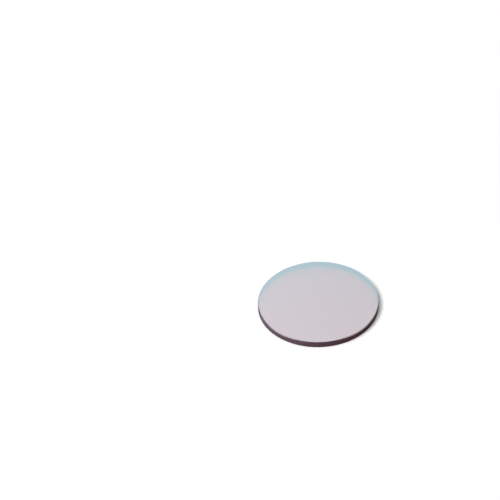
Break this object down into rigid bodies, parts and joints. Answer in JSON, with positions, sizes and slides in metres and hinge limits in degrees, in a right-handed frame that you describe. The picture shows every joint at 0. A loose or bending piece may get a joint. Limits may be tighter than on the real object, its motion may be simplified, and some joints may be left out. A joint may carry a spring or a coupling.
{
  "type": "optical bandpass filter",
  "caption": "Unmounted round optical bandpass filter: a thin coated glass disc with mirror-like flat faces and a dark ground edge, for a filter wheel or a threaded cell.",
  "frame": {"origin": "centre of the flat coated face that the filter rests on", "axes": "+Z along the optical axis, from the resting face to the other coated face; X and Y lie in the resting face, and the disc is the same all round"},
  "size_m": [0.036, 0.036, 0.002],
  "materials": {
    "coated_glass": "polished"
  },
  "bodies": {
    "root": {"filter_disc": "coated_glass"}
  },
  "joints": []
}
